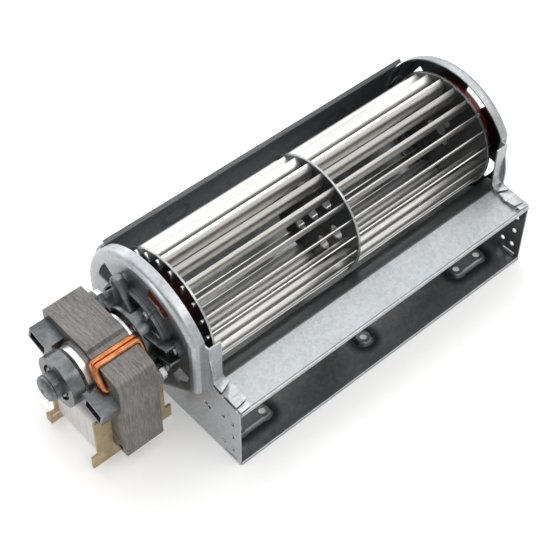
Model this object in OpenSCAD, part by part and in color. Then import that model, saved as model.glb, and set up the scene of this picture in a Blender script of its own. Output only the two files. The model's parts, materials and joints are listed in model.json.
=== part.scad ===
// Cross-flow oven fan: a sheet-steel scroll housing, a bladed tangential impeller in two
// sections and a shaded-pole motor with a C-shaped stack on the left end.
// Working axes: X along the impeller, Y to the back, Z up, and the impeller's axis at Y = Z = 0.
// X = 0 is the middle plane of the impeller disc next to the motor.

/* [Impeller] */
// Outer diameter of the three impeller discs
impeller_d = 65; // [60:1:70]
// Length of the impeller between the middle planes of its end discs
impeller_l = 180; // [120:5:240]
// Number of blades in each section
blade_count = 22; // [16:1:26]
// Angle at which the first blade's inner edge stands
blade_start = 6; // [0:0.5:16]
// Thickness of a blade
blade_t = 0.5; // [0.4:0.1:0.7]
// Depth of the blades, from their tips to their inner edges
blade_depth = 6.4; // [5.8:0.1:7]
// Distance from the blade tips to the edge of the discs
blade_tip_inset = 1.1; // [0.8:0.1:1.6]
// Radius of a blade's curved section
blade_bow_r = 7.4; // [6.8:0.1:9]
// Radius of the rounded inner corners of a blade
blade_corner_r = 4.2; // [3:0.2:5]
// Distance from the blade tips to the inner edge of a blade's end tabs
tab_depth = 3.2; // [2.6:0.1:3.6]
// Length of a tab past the outer face of an end disc
tab_out = 1.6; // [0.8:0.1:2]
// Gap round a tab in its slot
tab_clearance = 0.15; // [0.1:0.05:0.25]
// Thickness of the discs
disc_t = 0.8; // [0.6:0.1:1.2]
// Width of the rolled rim of a disc
disc_rim_w = 1; // [0.9:0.1:1.8]
// Radial thickness of the rolled rim
disc_rim_t = 0.8; // [0.6:0.1:0.9]
// Diameter of the holes in the middle disc
disc_hole_d = 8; // [6:0.5:10]
// Radius of the circle on which those holes lie
disc_hole_at_r = 16.5; // [15:0.5:18]

/* [Housing] */
// Thickness of the galvanised sheet
sheet_t = 0.8; // [0.6:0.1:1]
// Distance from the first disc to the inner face of the motor side plate
motor_gap = 8.4; // [7:0.2:12]
// Distance from the last disc to the inner face of the bearing side plate
bearing_gap = 2.4; // [2:0.2:5]
// Distance from the discs' edge to the outside of the round dish in each side plate
dish_gap = 10; // [8:0.5:13]
// Height of the impeller's axis above the dish's centre
dish_drop = 5; // [4:0.5:6]
// Depth of the dish outside the plate's inner face
dish_depth = 6.6; // [6:0.2:9]
// Outer radius of the dish's rounded shoulder
dish_round = 3.5; // [2:0.25:4]
// Distance from the discs' edge to the dish's straight front wall
front_gap = 4; // [3:0.25:5.5]
// Distance from the discs' edge to the dish's slanted lower wall
slant_gap = 3.2; // [2.6:0.1:5]
// Angle of the slanted wall's outward direction below the horizontal
dish_slant_a = 53.7; // [45:0.5:60]
// Width of the narrow upright strip beside the dish's front wall
strip_w = 3.5; // [2.5:0.25:5]
// Height of the top end of the upright strip above the axis
strip_top = 15.4; // [12:0.2:16]
// Width of the flanges bent from the side plates
flange_w = 6.4; // [4:0.2:8]
// Radius of the flange where it turns from upright into the tabs
flange_bend_r = 5; // [3:0.5:6]
// Width of the slits between the flange's tabs
tab_slit = 0.6; // [0.4:0.1:1]
// Distance from the upright strip to the outlet's front edge
outlet_l = 20.4; // [16:0.2:26]
// Depth of the outlet's top edge below the axis, at the front
mouth_top = 13.2; // [12.4:0.2:14]
// Distance from the discs' edge down to the housing's underside
floor_gap = 20; // [18:0.5:24]
// Distance from the discs' edge to the inside of the scroll's back wall
scroll_gap = 10.5; // [9:0.25:12]
// Angle below the horizontal at which the scroll widens towards the floor
scroll_join_a = 20; // [10:1:30]
// Angle above the horizontal at which the back wall ends
back_top_a = 38; // [34:1:44]
// Width of the lip bent outwards along the back wall's top edge
back_lip = 1.2; // [0.8:0.2:4]
// Length of the hems folded under at the outlet's edges
hem_l = 5; // [3:0.5:7]
// Distance from the upright strip to the soft bend in the outlet's top sheet
bend_ahead = 0.6; // [0.2:0.1:2]
// Depth of that bend below the axis
bend_drop = 11.3; // [11:0.1:12]
// Gap between the discs' edge and the tongue's rolled edge
tongue_gap = 1.65; // [1.2:0.05:3]
// Angle below the horizontal at which the tongue stands
tongue_a = 22.9; // [21:0.1:25]
// Length of the slanted slit in the dish's wall, at the back
slit_l = 7.6; // [4:0.2:10]
// Width of that slit
slit_w = 0.9; // [0.6:0.1:1.4]

/* [Housing holes] */
// Diameter of the screw holes in the outlet floor
floor_hole_d = 3.6; // [3:0.1:4.5]
// Distance from the outlet's front edge to the floor holes
floor_hole_in = 15.6; // [14:0.2:18]
// Distance of the middle floor hole from the impeller's middle, towards the motor
floor_hole_shift = 6; // [0:0.5:12]
// Distance from the first disc to the outer hole of the pair at the motor end
floor_pair_in = 2; // [0:0.5:10]
// Distance between the two holes of a pair
floor_pair_pitch = 15; // [14:0.5:18]
// Height of the raised seats round the floor holes
seat_h = 1.6; // [1:0.1:2.4]
// Radius of a raised seat's flat top
seat_top_r = 3.6; // [3:0.1:4.2]
// Radius of a raised seat at its base
seat_base_r = 6.1; // [5:0.1:7]
// Diameter of the round holes in the side plates
side_hole_d = 2.6; // [2:0.1:3.2]
// Distance from the outlet's front edge to the front row of side holes
side_hole_in = 6; // [5:0.2:7.6]
// Distance between the front and the rear row
side_row_pitch = 6.2; // [5:0.2:7]
// Depth of the upper side holes below the axis
side_hole_drop = 24.8; // [23:0.2:27]
// Distance between the upper and the lower side holes
side_hole_span = 20; // [16:0.5:22]
// Inner radius of the arc slots in the dish
arc_slot_inner_r = 25.6; // [25.4:0.2:27]
// Distance from the arc slots' outer edge to the dish's front wall
arc_slot_in = 3.5; // [3:0.25:5]
// Angle of the first arc slot's middle above the horizontal
arc_slot_at = 26; // [20:1:32]
// Angle that an arc slot spans
arc_slot_span = 26; // [18:1:30]

/* [Motor stack] */
// Height of the space between the dish and the stack, which the inner bracket fills
bracket_h = 13.2; // [12.6:0.2:15]
// Thickness of the lamination stack
stack_t = 20.8; // [15:0.2:30]
// Width of the stack across the axis
stack_w = 55; // [52:0.5:60]
// Height of the stack's top above the axis
stack_top = 14.5; // [14.2:0.1:16]
// Depth of the stack's bottom below the axis
stack_bottom = 41.5; // [38:0.5:43]
// Width of each of the stack's legs beside the coil
leg_w = 9.8; // [9:0.2:11]
// Height of the lowered pole next to the shading rings, above the axis
pole_top = 11.9; // [11.7:0.1:12.2]
// Radius of the stack's rounded upper front corner
stack_corner_r = 5.5; // [4:0.5:7]
// Radius of the rotor
rotor_r = 13; // [12:0.1:13.1]
// Air gap between rotor and stack
air_gap = 0.35; // [0.3:0.05:0.4]
// Radius of the shading rings' copper wire
ring_wire_r = 1.35; // [1:0.05:1.4]
// Radius of the bends in the shading rings, at the middle of the wire
ring_bend_r = 1.5; // [1.45:0.05:2]
// Diameter of the screws through the stack
stack_screw_d = 3.5; // [3:0.5:4]
// Distance of those screws from the axis, front to back
stack_screw_y = 21.8; // [21:0.1:22.5]
// Height of those screws from the axis, up and down
stack_screw_z = 6; // [5:0.5:8]

/* [Coil] */
// Height of the straight core inside the coil
core_h = 12.4; // [11:0.2:13]
// Length of the core's tongues in the stack's legs
core_tongue = 2; // [1:0.2:3]
// Thickness of the bobbin's flanges
bobbin_flange_t = 1.4; // [1:0.1:2]
// Distance that the bobbin's flanges stand out beyond the core, sideways
bobbin_side = 9; // [7:0.5:10]
// Distance that the flanges stand out above and below the core
bobbin_rise = 9.6; // [8:0.2:10]
// Wall of the bobbin's tube
bobbin_wall = 1; // [0.8:0.1:1.2]
// Depth of the winding below the flanges' edges
winding_inset = 1.8; // [1.4:0.1:3]
// Gap between the bobbin's lugs and the dish
lug_gap = 0.8; // [0.6:0.1:2]

/* [Brackets and shaft] */
// Diameter of the motor shaft
shaft_d = 6; // [5:0.5:6.5]
// Outer radius of the two bracket cups
cup_r = 13; // [12.5:0.1:13.5]
// Wall of the castings
cast_wall = 1.6; // [1.2:0.1:2]
// Distance from the stack to the outer cup's face
outer_cup_h = 14; // [13.5:0.5:16]
// Height of the bearing boss on the outer cup
boss_h = 4; // [3:0.5:6]
// Radius of the bearing bosses
boss_r = 6.4; // [6.2:0.1:6.8]
// Outer radius of the sleeve bearings
bearing_r = 5; // [4.8:0.1:5.2]
// Length of the motor's sleeve bearings
bearing_l = 6; // [5:0.5:7]
// Radial running clearance of the shafts in their bearings
running_fit = 0.03; // [0.01:0.01:0.06]
// Radius of the inner bracket's rim against the dish
spider_r = 24.6; // [24:0.2:25]
// Radius of the bearing holder's silicone disc
holder_r = 25.4; // [24:0.2:28]
// Width of the rings raised on that disc
holder_ring_w = 2; // [1.4:0.2:2.6]
// Radius of the silicone hub in the first disc
hub_r = 15; // [12:0.5:17]

/* [Hidden] */
$fn = 72;

galvanised = [0.74, 0.76, 0.78];
casting = [0.62, 0.64, 0.66];
bright = [0.86, 0.86, 0.85];
dark_steel = [0.42, 0.43, 0.45];
laminated = [0.58, 0.56, 0.54];
copper = [0.75, 0.4, 0.2];
nylon = [0.8, 0.68, 0.46];
silicone = [0.5, 0.1, 0.08];
bronze = [0.6, 0.47, 0.28];
tape = [0.9, 0.88, 0.84];

// Far enough to pass right through anything cut
cut = 0.5;
far = 200;

// Places along the axis
motor_plate_x = -motor_gap;
bearing_plate_x = impeller_l + bearing_gap;
motor_dish_x = motor_plate_x - dish_depth;
bearing_dish_x = bearing_plate_x + dish_depth;
stack_in_x = motor_dish_x - bracket_h;
stack_out_x = stack_in_x - stack_t;
stack_mid_x = (stack_in_x + stack_out_x) / 2;
outer_cup_x = stack_out_x - outer_cup_h;
outer_end_x = outer_cup_x - boss_h;

// Impeller
disc_r = impeller_d / 2;
blade_tip_r = disc_r - blade_tip_inset;
blade_inner_r = blade_tip_r - blade_depth;
tab_inner_r = blade_tip_r - tab_depth;
section_l = impeller_l / 2;
bow_centre_d = sqrt(pow(blade_inner_r, 2) + pow(blade_bow_r, 2));
bow_tip_a = acos((pow(blade_tip_r, 2) - pow(blade_inner_r, 2) - 2 * pow(blade_bow_r, 2))
    / (2 * blade_bow_r * bow_centre_d)) - atan(blade_bow_r / blade_inner_r);
tab_outer_r = blade_tip_r - 0.5;
mid_tab_l = disc_t / 2 - 0.05;

// Housing, set out from the discs' edge
dish_r = disc_r + dish_gap;
dish_front = disc_r + front_gap;
dish_slant = disc_r + slant_gap - dish_drop * sin(dish_slant_a);
strip_y = dish_front + strip_w;
bend_y = strip_y + bend_ahead;
mouth_y = strip_y + outlet_l;
floor_drop = disc_r + floor_gap;
scroll_r = disc_r + scroll_gap;
tongue_r = disc_r + tongue_gap + sheet_t;
arc_slot_outer_r = dish_front - arc_slot_in;
side_hole_y = mouth_y - side_hole_in;
floor_hole_y = mouth_y - floor_hole_in;
floor_hole_mid = impeller_l / 2 - floor_hole_shift;

// Scroll: an arc round the dish's centre, then a wider arc that meets the floor
scroll_outer_r = scroll_r + sheet_t;
plate_r = scroll_outer_r + sheet_t;
floor_under = floor_drop - sheet_t;
wide_r = (floor_under - dish_drop - scroll_outer_r * sin(scroll_join_a)) / (1 - sin(scroll_join_a));
wide_y = (scroll_outer_r - wide_r) * cos(scroll_join_a);
wide_z = -dish_drop - (scroll_outer_r - wide_r) * sin(scroll_join_a);

// Slope of the outlet's top sheet and the flange that lies on it
top_slope = atan((mouth_top - bend_drop) / (mouth_y - bend_y));
bend_centre_y = -strip_y - flange_bend_r;
bend_centre_z = (sheet_t + flange_bend_r + (bend_centre_y + bend_y) * sin(top_slope))
    / cos(top_slope) - bend_drop;
tab_start_y = bend_centre_y + flange_bend_r * sin(top_slope);
tab_start_z = bend_centre_z - flange_bend_r * cos(top_slope);
plate_front_y = mouth_y - sheet_t;
tab_run = (plate_front_y + tab_start_y) / cos(top_slope);
plate_corner_z = tab_start_z - (-strip_y - tab_start_y) * -tan(top_slope);
tab_first = tab_run * 0.19;
tab_second = tab_run * 0.85;

slit_at = 12.2;
slit_slant = 34.6;

// Floor holes
floor_top_z = -floor_drop + 2 * sheet_t;
seat_waist = 0.5;
floor_pairs = [floor_pair_in, 2 * floor_hole_mid - floor_pair_in - floor_pair_pitch];

// Motor
leg_in = stack_w / 2 - leg_w;
bore_r = rotor_r + air_gap;
pole_window = 14.5;
core_mid_z = -stack_bottom + core_h / 2 + 0.2;
core_half = stack_t / 2;
ring_notch = 0.9;
ring_top_z = pole_top - ring_notch + ring_wire_r;
ring_top_y = -10.2;
ring_pitch = 2 * ring_wire_r + 0.15;
ring_slot_y = -16;
ring_slot_z = 1.6;
ring_slot_r = ring_wire_r + 0.1;
ring_half = stack_t / 2 + ring_bend_r + 0.05;
rotor_ring_l = 3.1;
rotor_ring_r = rotor_r - 1;
rotor_shift = 2;
rotor_out_x = stack_out_x - rotor_shift;
rotor_in_x = stack_in_x - rotor_shift - 0.8;
press_gap = 0.05;
bobbin_half_y = leg_in - 0.4;
lug_half = core_half + bracket_h - lug_gap;
lug_top_z = core_mid_z - core_h / 2 - bobbin_rise + 5;
terminal_w = 6.3;
terminal_l = 10.5;
terminal_t = 0.8;
pole_fall = 1.3;
arm_a = atan(stack_screw_z / stack_screw_y);
arm_l = norm([stack_screw_y, stack_screw_z]);
outer_rim_x = outer_cup_x + 7;
outer_foot_x = stack_out_x - 2;
inner_rim_x = motor_dish_x - 7;
inner_foot_x = stack_in_x + 3.6;
spider_t = 2.4;
arm_neck = 2.4;
box_half = 4.2;
box_wall = 1.3;
stack_head_r = 2.7;
spider_x = motor_dish_x - spider_t;
arm_turns = [for (i = [0:3]) arc_slot_at + 45 + 90 * i];
lug_turns = [arc_slot_at + 90, arc_slot_at + 270];
arm_screw_r = spider_r + 2.6;
lug_screw_r = spider_r - 3.4;
plate_head_r = 2.4;
plate_head_t = 1.2;
plate_screw_r = 1.6;
outer_bearing_x = outer_end_x + 0.8;
inner_bearing_x = motor_dish_x - bearing_l + 0.6;
clip_t = 0.6;
hub_front_x = -9.4;
hub_collar_x = -12.6;
hub_back_x = 2.4;
hub_neck_r = hub_r - 4;
insert_r = 6.4;
stub_flange_t = 1.5;
stub_flange_r = 9;
shaft_bevel = 0.6;
rivet_at_r = 6.9;
rivet_r = 1;
rivet_head_r = 1.7;
rivet_head_t = 0.7;
stub_end_x = bearing_dish_x + 0.6;
holder_t = 2;
holder_lip = 1.6;
holder_hub_r = 10.3;
holder_mid_r = (holder_r + holder_hub_r) / 2 - 0.8;
dish_hole_r = holder_hub_r + 0.2;

// Whole object, for the origin under its middle
x_low = outer_end_x;
x_high = bearing_dish_x + holder_lip;
y_low = -mouth_y;
y_high = max(dish_r, plate_r);

// Puts a piece so that the origin lies under the middle of the whole object
module place() {
    translate([-(x_low + x_high) / 2, -(y_low + y_high) / 2, floor_drop]) children();
}

// A flat drawing in Y and Z, raised along X from x0
module along_x(x0, length) {
    translate([x0, 0, 0]) rotate([90, 0, 90]) linear_extrude(length) children();
}

// A round bar along X
module rod(x0, x1, r) {
    translate([x0, 0, 0]) rotate([0, 90, 0]) cylinder(h = x1 - x0, r = r);
}

// A cone along X
module taper(x0, x1, r0, r1) {
    translate([x0, 0, 0]) rotate([0, 90, 0]) cylinder(h = x1 - x0, r1 = r0, r2 = r1);
}

// A round pin along X with bevelled ends
module pin(x0, x1, r, bevel) {
    translate([x0, 0, 0]) rotate([0, 90, 0]) rotate_extrude()
        polygon([[0, 0], [r - bevel, 0], [r, bevel], [r, x1 - x0 - bevel], [r - bevel, x1 - x0],
            [0, x1 - x0]]);
}

// A tube along X
module tube(x0, x1, outer, inner) {
    difference() {
        rod(x0, x1, outer);
        rod(x0 - cut, x1 + cut, inner);
    }
}

// A flat wedge from angle a0 to a1, under half a turn
module wedge(a0, a1) {
    polygon([[0, 0], far * [cos(a0), sin(a0)],
        far * 1.6 * [cos((a0 + a1) / 2), sin((a0 + a1) / 2)], far * [cos(a1), sin(a1)]]);
}

// A flat ring from angle a0 to a1
module arc_band(outer, inner, a0, a1) {
    intersection() {
        difference() {
            circle(outer);
            circle(inner);
        }
        wedge(a0, a1);
    }
}

// Copies a piece at a point and at its opposite across the axis
module opposite_pair() {
    children();
    rotate([180, 0, 0]) children();
}

// Half of the dish's section: its flat face, rounded shoulder and wall
module dish_section(reach, inset, over) {
    translate([0, inset - dish_depth]) square([reach - dish_round, dish_depth - inset + over]);
    translate([0, dish_round - dish_depth]) square([reach - inset, dish_depth - dish_round + over]);
    translate([reach - dish_round, dish_round - dish_depth]) circle(dish_round - inset);
}

// A long block with the dish's section, for its straight walls
module dish_wall(reach, turn, inset, over) {
    round_r = dish_round - inset;
    corner = [for (a = [0:30:90]) [reach - dish_round + round_r * cos(a),
        dish_round - dish_depth - round_r * sin(a)]];
    rotate([turn, 0, 0]) rotate([0, 0, -90]) linear_extrude(far, center = true)
        polygon(concat([[-far, over], [reach - inset, over]], corner, [[-far, inset - dish_depth]]));
}

// The dish as a solid, inset from its outer skin
module dish_block(inset, over) {
    intersection() {
        translate([0, 0, -dish_drop]) rotate([0, 90, 0]) rotate_extrude() dish_section(dish_r, inset, over);
        dish_wall(dish_front, 0, inset, over);
        translate([0, 0, -dish_drop]) dish_wall(dish_slant, dish_slant_a, inset, over);
    }
}

// The band that the flange's tabs fill, above the outlet's top sheet
module tab_band(run0, run1) {
    translate([tab_start_y, tab_start_z]) rotate(180 + top_slope)
        translate([run0, 0]) square([run1 - run0, sheet_t]);
}

// Outline of a side plate
module plate_outline() {
    translate([0, -dish_drop]) {
        circle(dish_r - sheet_t / 2);
        intersection() {
            circle(plate_r);
            wedge(-scroll_join_a, back_top_a - 8);
        }
    }
    translate([wide_y, wide_z]) intersection() {
        circle(wide_r + sheet_t);
        wedge(-90, -scroll_join_a);
    }
    polygon([[-plate_front_y, -floor_drop], [wide_y, -floor_drop], [wide_y, -dish_drop],
        [-strip_y, plate_corner_z], [tab_start_y, tab_start_z],
        [tab_start_y, tab_start_z] - tab_run * [cos(top_slope), sin(top_slope)]]);
    translate([-strip_y, plate_corner_z]) square([strip_y - dish_front + cut, strip_top - plate_corner_z]);
    difference() {
        polygon([[bend_centre_y, bend_centre_z], [-strip_y, bend_centre_z],
            [-strip_y, plate_corner_z], [tab_start_y, tab_start_z]]);
        translate([bend_centre_y, bend_centre_z]) circle(flange_bend_r);
    }
}

// Flange of a side plate: upright, round the bend, then the tabs on the outlet's top sheet
module front_flange() {
    translate([-strip_y, bend_centre_z]) square([sheet_t, strip_top - bend_centre_z]);
    translate([bend_centre_y, bend_centre_z])
        arc_band(flange_bend_r + sheet_t, flange_bend_r, -90 + top_slope, 0);
    tab_band(0, tab_first - tab_slit / 2);
    tab_band(tab_first + tab_slit / 2, tab_second - tab_slit / 2);
    tab_band(tab_second + tab_slit / 2, tab_run);
}

// Flange of a side plate round the back of the scroll and under the floor
module scroll_flange() {
    translate([0, -dish_drop]) arc_band(plate_r, scroll_outer_r, -scroll_join_a, back_top_a - 8);
    translate([wide_y, wide_z]) arc_band(wide_r + sheet_t, wide_r, -90, -scroll_join_a);
    translate([-plate_front_y + hem_l, -floor_drop]) square([plate_front_y + wide_y - hem_l, sheet_t]);
}

// The round holes near the outlet in a side plate
module side_holes() {
    for (row = [0, 1], end = [0, 1])
        translate([-side_hole_y + row * side_row_pitch, -side_hole_drop - end * side_hole_span])
            circle(d = side_hole_d);
    translate([-side_hole_y, -side_hole_drop - side_hole_span / 2]) circle(d = side_hole_d);
    translate([-side_hole_y + 16.4, -side_hole_drop - 3.6]) circle(d = side_hole_d);
    translate([-side_hole_y + 18.6, -side_hole_drop - 2.6]) circle(d = side_hole_d);
}

// A side plate seen with the inside towards +X and its inner face at X = 0
module side_plate(centre_hole_r) {
    difference() {
        union() {
            along_x(-sheet_t, sheet_t) plate_outline();
            dish_block(0, 0);
            along_x(-cut, flange_w + cut) front_flange();
            along_x(-cut, flange_w + cut) scroll_flange();
        }
        dish_block(sheet_t, cut);
        along_x(-sheet_t - cut, sheet_t + 2 * cut) side_holes();
        translate([-dish_depth * 0.62, 0, -dish_drop]) rotate([slit_at, 0, 0])
            translate([0, dish_r, 0]) rotate([0, -slit_slant, 0]) cube([slit_w, 8, slit_l], center = true);
        rod(-dish_depth - cut, 0, centre_hole_r);
        for (turn = [0:90:270])
            along_x(-dish_depth - cut, sheet_t + 2 * cut)
                rotate(arc_slot_at + turn)
                    arc_band(arc_slot_outer_r, arc_slot_inner_r, -arc_slot_span / 2, arc_slot_span / 2);
        along_x(-sheet_t - cut, sheet_t + 2 * cut)
            translate([-mouth_y + 3.4, -floor_drop + 2 * sheet_t]) square([8, 0.8]);
    }
}

// Runs a child at each screw between the inner bracket and the dish
module at_plate_screws() {
    for (a = arm_turns) rotate([a, 0, 0]) translate([0, arm_screw_r, 0]) children();
    for (a = lug_turns) rotate([a, 0, 0]) translate([0, lug_screw_r, 0]) children();
}

module motor_side_plate() {
    place() color(galvanised) difference() {
        translate([motor_plate_x, 0, 0]) side_plate(boss_r + 0.4);
        at_plate_screws() rod(motor_dish_x - cut, motor_dish_x + sheet_t + cut, plate_screw_r + press_gap);
    }
}

module bearing_side_plate() {
    place() color(galvanised) translate([bearing_plate_x, 0, 0]) mirror([1, 0, 0]) side_plate(dish_hole_r);
}

// Section of the scroll: lip, back arc, wide arc, floor and the hem under its front edge
module scroll_section() {
    translate([0, -dish_drop]) {
        arc_band(scroll_outer_r, scroll_outer_r - sheet_t, -scroll_join_a, back_top_a);
        rotate(back_top_a) translate([scroll_r + sheet_t / 4, -sheet_t / 2]) square([back_lip + sheet_t, sheet_t]);
    }
    translate([wide_y, wide_z]) arc_band(wide_r, wide_r - sheet_t, -90, -scroll_join_a);
    translate([-mouth_y + sheet_t, -floor_under]) square([mouth_y + wide_y - sheet_t, sheet_t]);
    translate([-mouth_y + sheet_t, -floor_drop]) square([hem_l - sheet_t, sheet_t]);
    translate([-mouth_y + sheet_t, -floor_under]) intersection() {
        circle(sheet_t);
        translate([-2 * sheet_t, -2 * sheet_t]) square([2 * sheet_t, 4 * sheet_t]);
    }
}

// A raised seat round one hole, or its hollow underside
module seat(length, drop, grow) {
    for (end = [0, length])
        translate([end, 0, -drop])
            cylinder(h = seat_h + sheet_t, r1 = seat_base_r + grow, r2 = seat_top_r + grow);
    if (length > 0)
        translate([0, 0, -drop]) rotate([90, 0, 90]) linear_extrude(length)
            polygon([[-seat_base_r - grow + seat_waist, 0], [seat_base_r + grow - seat_waist, 0],
                [seat_top_r + grow - seat_waist, seat_h + sheet_t],
                [-seat_top_r - grow + seat_waist, seat_h + sheet_t]]);
}

// Runs a child at each seat: the single one and the two pairs
module at_seats() {
    translate([floor_hole_mid, -floor_hole_y, floor_top_z]) children(0);
    for (x = floor_pairs) translate([x, -floor_hole_y, floor_top_z]) children(1);
}

module scroll_sheet() {
    place() color(dark_steel) difference() {
        union() {
            along_x(motor_plate_x, bearing_plate_x - motor_plate_x) scroll_section();
            at_seats() {
                seat(0, sheet_t, 0);
                seat(floor_pair_pitch, sheet_t, 0);
            }
        }
        at_seats() {
            seat(0, 2 * sheet_t, 0);
            seat(floor_pair_pitch, 2 * sheet_t, 0);
        }
        for (x = concat([floor_hole_mid], floor_pairs, [for (p = floor_pairs) p + floor_pair_pitch]))
            translate([x, -floor_hole_y, -floor_drop - cut]) cylinder(h = 3 * seat_h + cut, d = floor_hole_d);
    }
}

// A point in the outlet's top sheet: u along its slope from the nose, v above its hem
function slope_point(u, v) = [-mouth_y + sheet_t + u * cos(top_slope) + (sheet_t - v) * sin(top_slope),
    -mouth_top + sheet_t * tan(top_slope) + u * sin(top_slope) - (sheet_t - v) * cos(top_slope)];

// Section of the outlet's top sheet, from the hem to the rolled edge of its tongue
module top_sheet_section() {
    run = (mouth_y - sheet_t - bend_y) / cos(top_slope);
    roll = -tongue_r * [cos(tongue_a), sin(tongue_a)];
    polygon(concat([for (a = [90:30:270]) slope_point(sheet_t * cos(a), sheet_t * sin(a))],
        [slope_point(hem_l - sheet_t, -sheet_t), slope_point(hem_l - sheet_t, 0), slope_point(run, 0)],
        [for (a = [-110:40:90]) roll + sheet_t * [cos(a), sin(a)]], [slope_point(run, sheet_t)]));
}

module outlet_top_sheet() {
    place() color(galvanised)
        along_x(motor_plate_x, bearing_plate_x - motor_plate_x) top_sheet_section();
}

// Curved section of a blade or of its slot; angles run from the tip to the inner edge
module blade_bow(thickness) {
    translate([blade_inner_r, -blade_bow_r])
        arc_band(blade_bow_r + thickness / 2, blade_bow_r - thickness / 2, bow_tip_a, 90);
}

// Side outline of a blade, along X and outwards, with rounded inner corners and end tabs
module blade_side(length, tab0, tab1) {
    corner = [for (a = [0:22.5:90]) blade_corner_r * [1 - cos(a), 1 - sin(a)]];
    reach = blade_tip_r + cut;
    polygon(concat([[0, reach], [length, reach]],
        [for (c = corner) [length - c[0], blade_inner_r + c[1]]],
        [for (i = [len(corner) - 1:-1:0]) [corner[i][0], blade_inner_r + corner[i][1]]]));
    translate([-tab0, tab_inner_r]) square([length + tab0 + tab1, tab_outer_r - tab_inner_r]);
}

// All blades of one section: the bowed strip, cut by a prism of the blade's side outline
module blade_set(x0, tab0, tab1) {
    length = section_l - disc_t;
    for (i = [0:blade_count - 1])
        rotate([360 / blade_count * i + blade_start, 0, 0]) intersection() {
            along_x(x0 - tab0, length + tab0 + tab1) blade_bow(blade_t);
            translate([x0, 0, -blade_bow_r]) linear_extrude(2 * blade_bow_r)
                blade_side(length, tab0, tab1);
        }
}

module blades_motor_section() {
    place() color(bright) blade_set(disc_t / 2, disc_t + tab_out, mid_tab_l);
}

module blades_bearing_section() {
    place() color(bright) blade_set(section_l + disc_t / 2, mid_tab_l, disc_t + tab_out);
}

// A disc with its rolled rim and the slots for the blade tabs
module bladed_disc(x, hole_r) {
    difference() {
        union() {
            rod(x - disc_t / 2, x + disc_t / 2, disc_r);
            tube(x - disc_rim_w / 2, x + disc_rim_w / 2, disc_r, disc_r - disc_rim_t);
        }
        rod(x - disc_t, x + disc_t, hole_r);
        for (i = [0:blade_count - 1])
            along_x(x - disc_t, 2 * disc_t) rotate(360 / blade_count * i + blade_start) intersection() {
                blade_bow(blade_t + 2 * tab_clearance);
                translate([tab_inner_r - tab_clearance, -blade_bow_r])
                    square([tab_outer_r - tab_inner_r + 2 * tab_clearance, 2 * blade_bow_r]);
            }
    }
}

module impeller_motor_disc() {
    place() color(galvanised) bladed_disc(0, hub_neck_r);
}

module impeller_middle_disc() {
    place() color(galvanised) difference() {
        bladed_disc(section_l, disc_hole_d / 2);
        for (a = [0:60:300])
            rotate([a, 0, 0]) translate([0, disc_hole_at_r, 0])
                rod(section_l - disc_t, section_l + disc_t, disc_hole_d / 2);
    }
}

module impeller_bearing_disc() {
    place() color(galvanised) difference() {
        bladed_disc(impeller_l, shaft_d / 2);
        at_rivets() rod(impeller_l - disc_t, impeller_l + disc_t, rivet_r);
    }
}

// Silicone hub that grips the edge of the first disc's hole from both sides
module impeller_hub() {
    place() color(silicone) difference() {
        union() {
            taper(hub_front_x, -disc_t / 2 - 3, hub_neck_r - 0.5, hub_r);
            rod(-disc_t / 2 - 3, -disc_t / 2, hub_r);
            rod(-disc_t / 2, disc_t / 2, hub_neck_r);
            rod(disc_t / 2, hub_back_x, hub_r - 1);
        }
        rod(hub_front_x - cut, hub_back_x + cut, insert_r);
        for (a = [0:60:300])
            rotate([a, 0, 0]) translate([0, hub_r - 2.6, 0])
                rod(hub_front_x - cut, -disc_t / 2 - 4, 1.3);
    }
}

// Metal bush in the silicone hub, with a collar for the set screw
module hub_insert() {
    place() color(bright) difference() {
        union() {
            rod(hub_front_x, hub_back_x, insert_r);
            rod(hub_collar_x, hub_front_x, insert_r + 1.2);
        }
        rod(hub_collar_x - cut, hub_back_x + cut, shaft_d / 2 + press_gap);
        translate([(hub_collar_x + hub_front_x) / 2, 0, 0]) cylinder(h = hub_r, r = 1.3 + press_gap);
    }
}

module hub_set_screw() {
    place() color(dark_steel) translate([(hub_collar_x + hub_front_x) / 2, 0, 0]) difference() {
        translate([0, 0, shaft_d / 2 + press_gap]) cylinder(h = 4, r = 1.3);
        translate([0, 0, shaft_d / 2 + 2.4]) cylinder(h = 4, r = 0.75, $fn = 6);
    }
}

// Runs a child at each rivet of the short shaft's flange
module at_rivets() {
    for (a = [0:120:240]) rotate([a, 0, 0]) translate([0, rivet_at_r, 0]) children();
}

// Short shaft on the last disc, which turns in the end bearing
module stub_shaft() {
    flange_x = impeller_l + disc_t / 2;
    nose_l = disc_t + 0.6;
    stub_l = stub_end_x - flange_x;
    r = shaft_d / 2;
    place() color(bright) difference() {
        translate([flange_x, 0, 0]) rotate([0, 90, 0]) rotate_extrude()
            polygon([[0, -nose_l], [r - press_gap, -nose_l], [r - press_gap, 0], [stub_flange_r, 0],
                [stub_flange_r, stub_flange_t], [r + 1.6, stub_flange_t], [r, stub_flange_t + 1],
                [r, stub_l - shaft_bevel], [r - shaft_bevel, stub_l], [0, stub_l]]);
        at_rivets() rod(flange_x - cut, flange_x + stub_flange_t + cut, rivet_r);
    }
}

module stub_rivets() {
    flange_x = impeller_l + disc_t / 2;
    place() color(bright) at_rivets() {
        rod(flange_x - disc_t - rivet_head_t, flange_x - disc_t, rivet_head_r);
        rod(flange_x - disc_t - 0.1, flange_x + stub_flange_t + 0.1, rivet_r - press_gap);
        rod(flange_x + stub_flange_t, flange_x + stub_flange_t + rivet_head_t, rivet_head_r);
    }
}

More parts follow.
